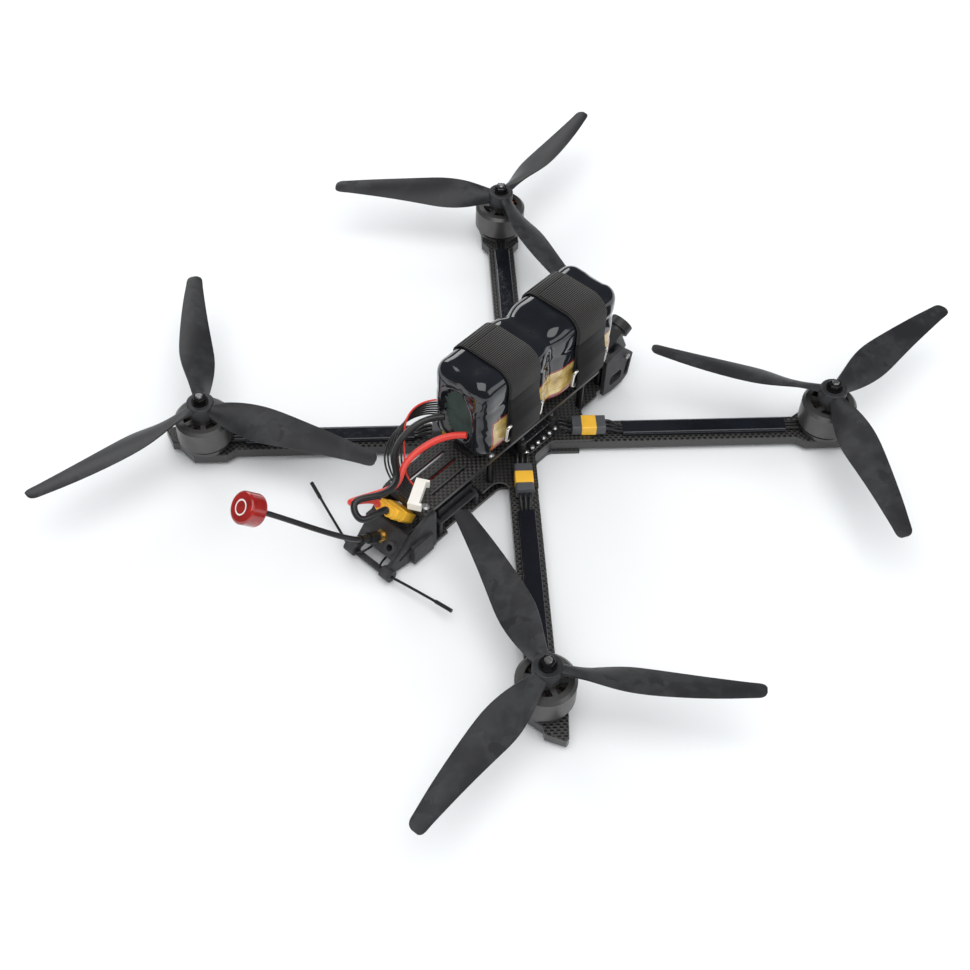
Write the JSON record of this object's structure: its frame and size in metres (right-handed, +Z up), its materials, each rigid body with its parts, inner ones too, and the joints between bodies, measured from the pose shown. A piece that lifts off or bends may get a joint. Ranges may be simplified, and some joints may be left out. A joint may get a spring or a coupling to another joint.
{
  "type": "fpv racing drone",
  "caption": "Long-range first-person-view quadcopter with X frame, three-bladed propellers, top-strapped battery, tilting nose camera and rear antenna.",
  "frame": {"origin": "centre of the X of the arms, on the underside of the bottom plate", "axes": "+X forwards towards the camera, +Y to the drone's left, +Z up"},
  "size_m": [0.5548, 0.506, 0.1106],
  "materials": {
    "carbon": "woven carbon fibre, satin",
    "post_metal": "black anodised",
    "screw_steel": "satin",
    "shaft_steel": "ground",
    "pad_rubber": "matte",
    "shrink_wrap": "glossy wrinkled heat-shrink",
    "webbing": "woven nylon",
    "board": "solder mask",
    "button_plastic": "satin",
    "amber_plastic": "moulded",
    "grey_plastic": "moulded",
    "lead_black": "silicone",
    "lead_red": "silicone",
    "balance_wire": "silicone",
    "white_plastic": "moulded",
    "heat_shrink": "heat-shrink",
    "printed_plastic": "printed, fine layers",
    "module_metal": "anodised, finned",
    "module_plastic": "satin",
    "gold_metal": "gold plated",
    "clear_red": "translucent",
    "camera_plastic": "satin",
    "lens": "coated",
    "motor_metal": "satin anodised",
    "lamination": "lacquered steel",
    "copper": "enamelled wire",
    "propeller_nylon": "glass-filled nylon, mottled",
    "nut_metal": "anodised"
  },
  "bodies": {
    "airframe": {"bottom_plate": "carbon", "mid_plate": "carbon", "top_plate": "carbon", "arm_front_left": "carbon", "arm_front_right": "carbon", "arm_rear_left": "carbon", "arm_rear_right": "carbon", "standoffs": "post_metal", "m3_screws": "screw_steel", "strap_buckles": "screw_steel", "battery_pad": "pad_rubber", "stack_grommets": "pad_rubber", "battery_pack": "shrink_wrap", "strap_front": "webbing", "strap_rear": "webbing", "esc_board": "board", "fc_board": "board", "connector_bodies": "amber_plastic", "xt60_socket": "amber_plastic", "xt60_plug": "amber_plastic", "connector_caps": "grey_plastic", "motor_leads": "lead_black", "power_lead_black": "lead_black", "antenna_cable": "lead_black", "receiver_antennas": "lead_black", "power_lead_red": "lead_red", "balance_leads": "balance_wire", "balance_plug": "white_plastic", "lead_sleeves": "heat_shrink", "rear_mount": "printed_plastic", "camera_cage": "printed_plastic", "vtx_bracket": "printed_plastic", "vtx_module": "module_metal", "receiver": "module_plastic", "sma_connector": "gold_metal", "antenna_pill": "clear_red", "motor_bases": "motor_metal", "stator_cores": "lamination", "windings": "copper"},
    "rotor_front_left": {"bell_front_left": "motor_metal", "shaft_front_left": "shaft_steel", "propeller_front_left": "propeller_nylon", "prop_nut_front_left": "nut_metal"},
    "rotor_front_right": {"bell_front_right": "motor_metal", "shaft_front_right": "shaft_steel", "propeller_front_right": "propeller_nylon", "prop_nut_front_right": "nut_metal"},
    "rotor_rear_left": {"bell_rear_left": "motor_metal", "shaft_rear_left": "shaft_steel", "propeller_rear_left": "propeller_nylon", "prop_nut_rear_left": "nut_metal"},
    "rotor_rear_right": {"bell_rear_right": "motor_metal", "shaft_rear_right": "shaft_steel", "propeller_rear_right": "propeller_nylon", "prop_nut_rear_right": "nut_metal"},
    "camera": {"camera_body": "camera_plastic", "lens_ring": "camera_plastic", "lens_glass": "lens", "camera_screws": "screw_steel"},
    "boot_button": {"boot_button": "button_plastic"}
  },
  "joints": [
    {"name": "rotor_front_left_spin", "type": "hinge", "parent": "airframe", "child": "rotor_front_left", "pos_m": [0.15097, 0.15097, 0.0437], "axis": [0, 0, 1], "continuous": true},
    {"name": "rotor_front_right_spin", "type": "hinge", "parent": "airframe", "child": "rotor_front_right", "pos_m": [0.15097, -0.15097, 0.0437], "axis": [0, 0, 1], "continuous": true},
    {"name": "rotor_rear_left_spin", "type": "hinge", "parent": "airframe", "child": "rotor_rear_left", "pos_m": [-0.15097, 0.15097, 0.0437], "axis": [0, 0, 1], "continuous": true},
    {"name": "rotor_rear_right_spin", "type": "hinge", "parent": "airframe", "child": "rotor_rear_right", "pos_m": [-0.15097, -0.15097, 0.0437], "axis": [0, 0, 1], "continuous": true},
    {"name": "camera_tilt", "type": "hinge", "parent": "airframe", "child": "camera", "pos_m": [0.094, 0, 0.03], "axis": [0, -1, 0], "range_deg": [-25, 20]},
    {"name": "boot_button_press", "type": "slide", "parent": "airframe", "child": "boot_button", "axis": [0, 0, -1], "range_m": [0, 0.00025]}
  ]
}
